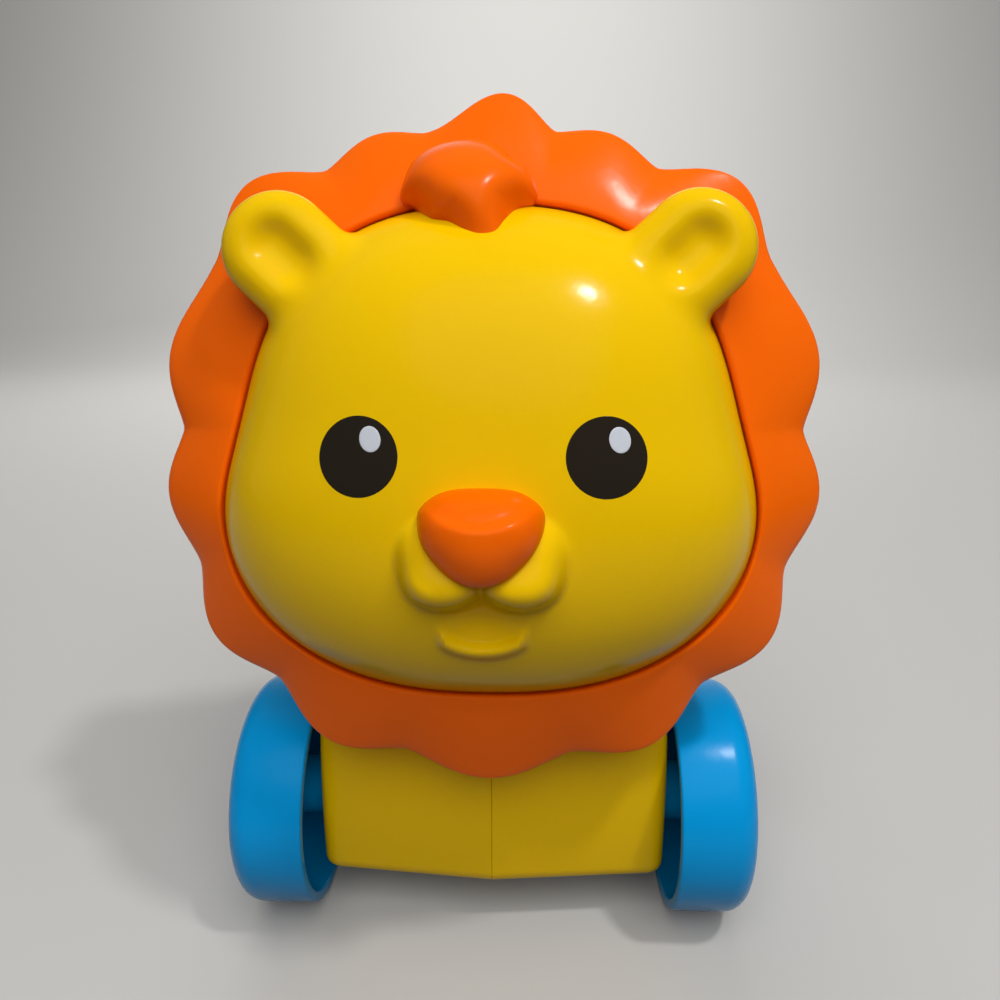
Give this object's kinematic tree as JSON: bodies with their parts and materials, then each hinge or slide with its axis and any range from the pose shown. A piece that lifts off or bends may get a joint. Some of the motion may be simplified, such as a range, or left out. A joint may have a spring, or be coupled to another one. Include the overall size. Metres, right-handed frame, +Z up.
{
  "type": "toddler push toy",
  "caption": "Press-and-go animal push toy: a big round lion head with a scalloped mane on a sprung neck over a small wheeled body; pressing the head drives the rear axle.",
  "frame": {"origin": "on the floor, under the middle of the toy's box", "axes": "+Z up, the face looks along -Y, +X to the right of someone who faces the toy"},
  "size_m": [0.116, 0.1251, 0.1612],
  "materials": {
    "yellow_plastic": "glossy moulded",
    "orange_plastic": "glossy moulded",
    "blue_plastic": "satin moulded",
    "eye_print": "pad-printed ink",
    "glint_print": "pad-printed ink",
    "gear_plastic": "moulded acetal",
    "plated_steel": "zinc plated"
  },
  "bodies": {
    "chassis": {"body_left_shell": "yellow_plastic", "body_right_shell": "yellow_plastic", "axle_bushes": "gear_plastic", "body_screws": "plated_steel", "layshaft": "plated_steel", "return_spring": "plated_steel"},
    "head": {"face_shell": "yellow_plastic", "mane": "orange_plastic", "head_back_shell": "orange_plastic", "forelock": "orange_plastic", "nose": "orange_plastic", "eye_prints": "eye_print", "eye_glints": "glint_print", "head_screws": "plated_steel", "neck_post": "yellow_plastic", "neck_screw": "plated_steel"},
    "front_axle_set": {"front_axle": "plated_steel", "front_left_wheel": "blue_plastic", "front_right_wheel": "blue_plastic"},
    "rear_axle_set": {"rear_axle": "plated_steel", "rear_left_wheel": "blue_plastic", "rear_right_wheel": "blue_plastic", "axle_gear": "gear_plastic"},
    "clutch": {"clutch_pinion": "gear_plastic"},
    "drive": {"drive_gear": "gear_plastic"}
  },
  "joints": [
    {"name": "head_press", "type": "slide", "parent": "chassis", "child": "head", "axis": [0, 0, 1], "range_m": [-0.009, 0], "stiffness_N_per_m": 700, "springref_m": 0.007, "deforming": ["return_spring"]},
    {"name": "front_axle_spin", "type": "hinge", "parent": "chassis", "child": "front_axle_set", "pos_m": [0, -0.0165, 0.0235], "axis": [1, 0, 0], "continuous": true},
    {"name": "rear_axle_spin", "type": "hinge", "parent": "chassis", "child": "rear_axle_set", "pos_m": [0, 0.0395, 0.0235], "axis": [1, 0, 0], "continuous": true},
    {"name": "clutch_spin", "type": "hinge", "parent": "chassis", "child": "clutch", "pos_m": [0, 0.02401, 0.0275], "axis": [1, 0, 0], "range_deg": [0, 92.5]},
    {"name": "drive_gear_spin", "type": "hinge", "parent": "chassis", "child": "drive", "pos_m": [0, 0.02401, 0.0275], "axis": [1, 0, 0], "continuous": true}
  ],
  "couplings": [
    {"joint": "clutch_spin", "follows": "head_press", "rad_per_m": -178.57},
    {"joint": "drive_gear_spin", "follows": "rear_axle_spin", "ratio": -0.42857}
  ]
}
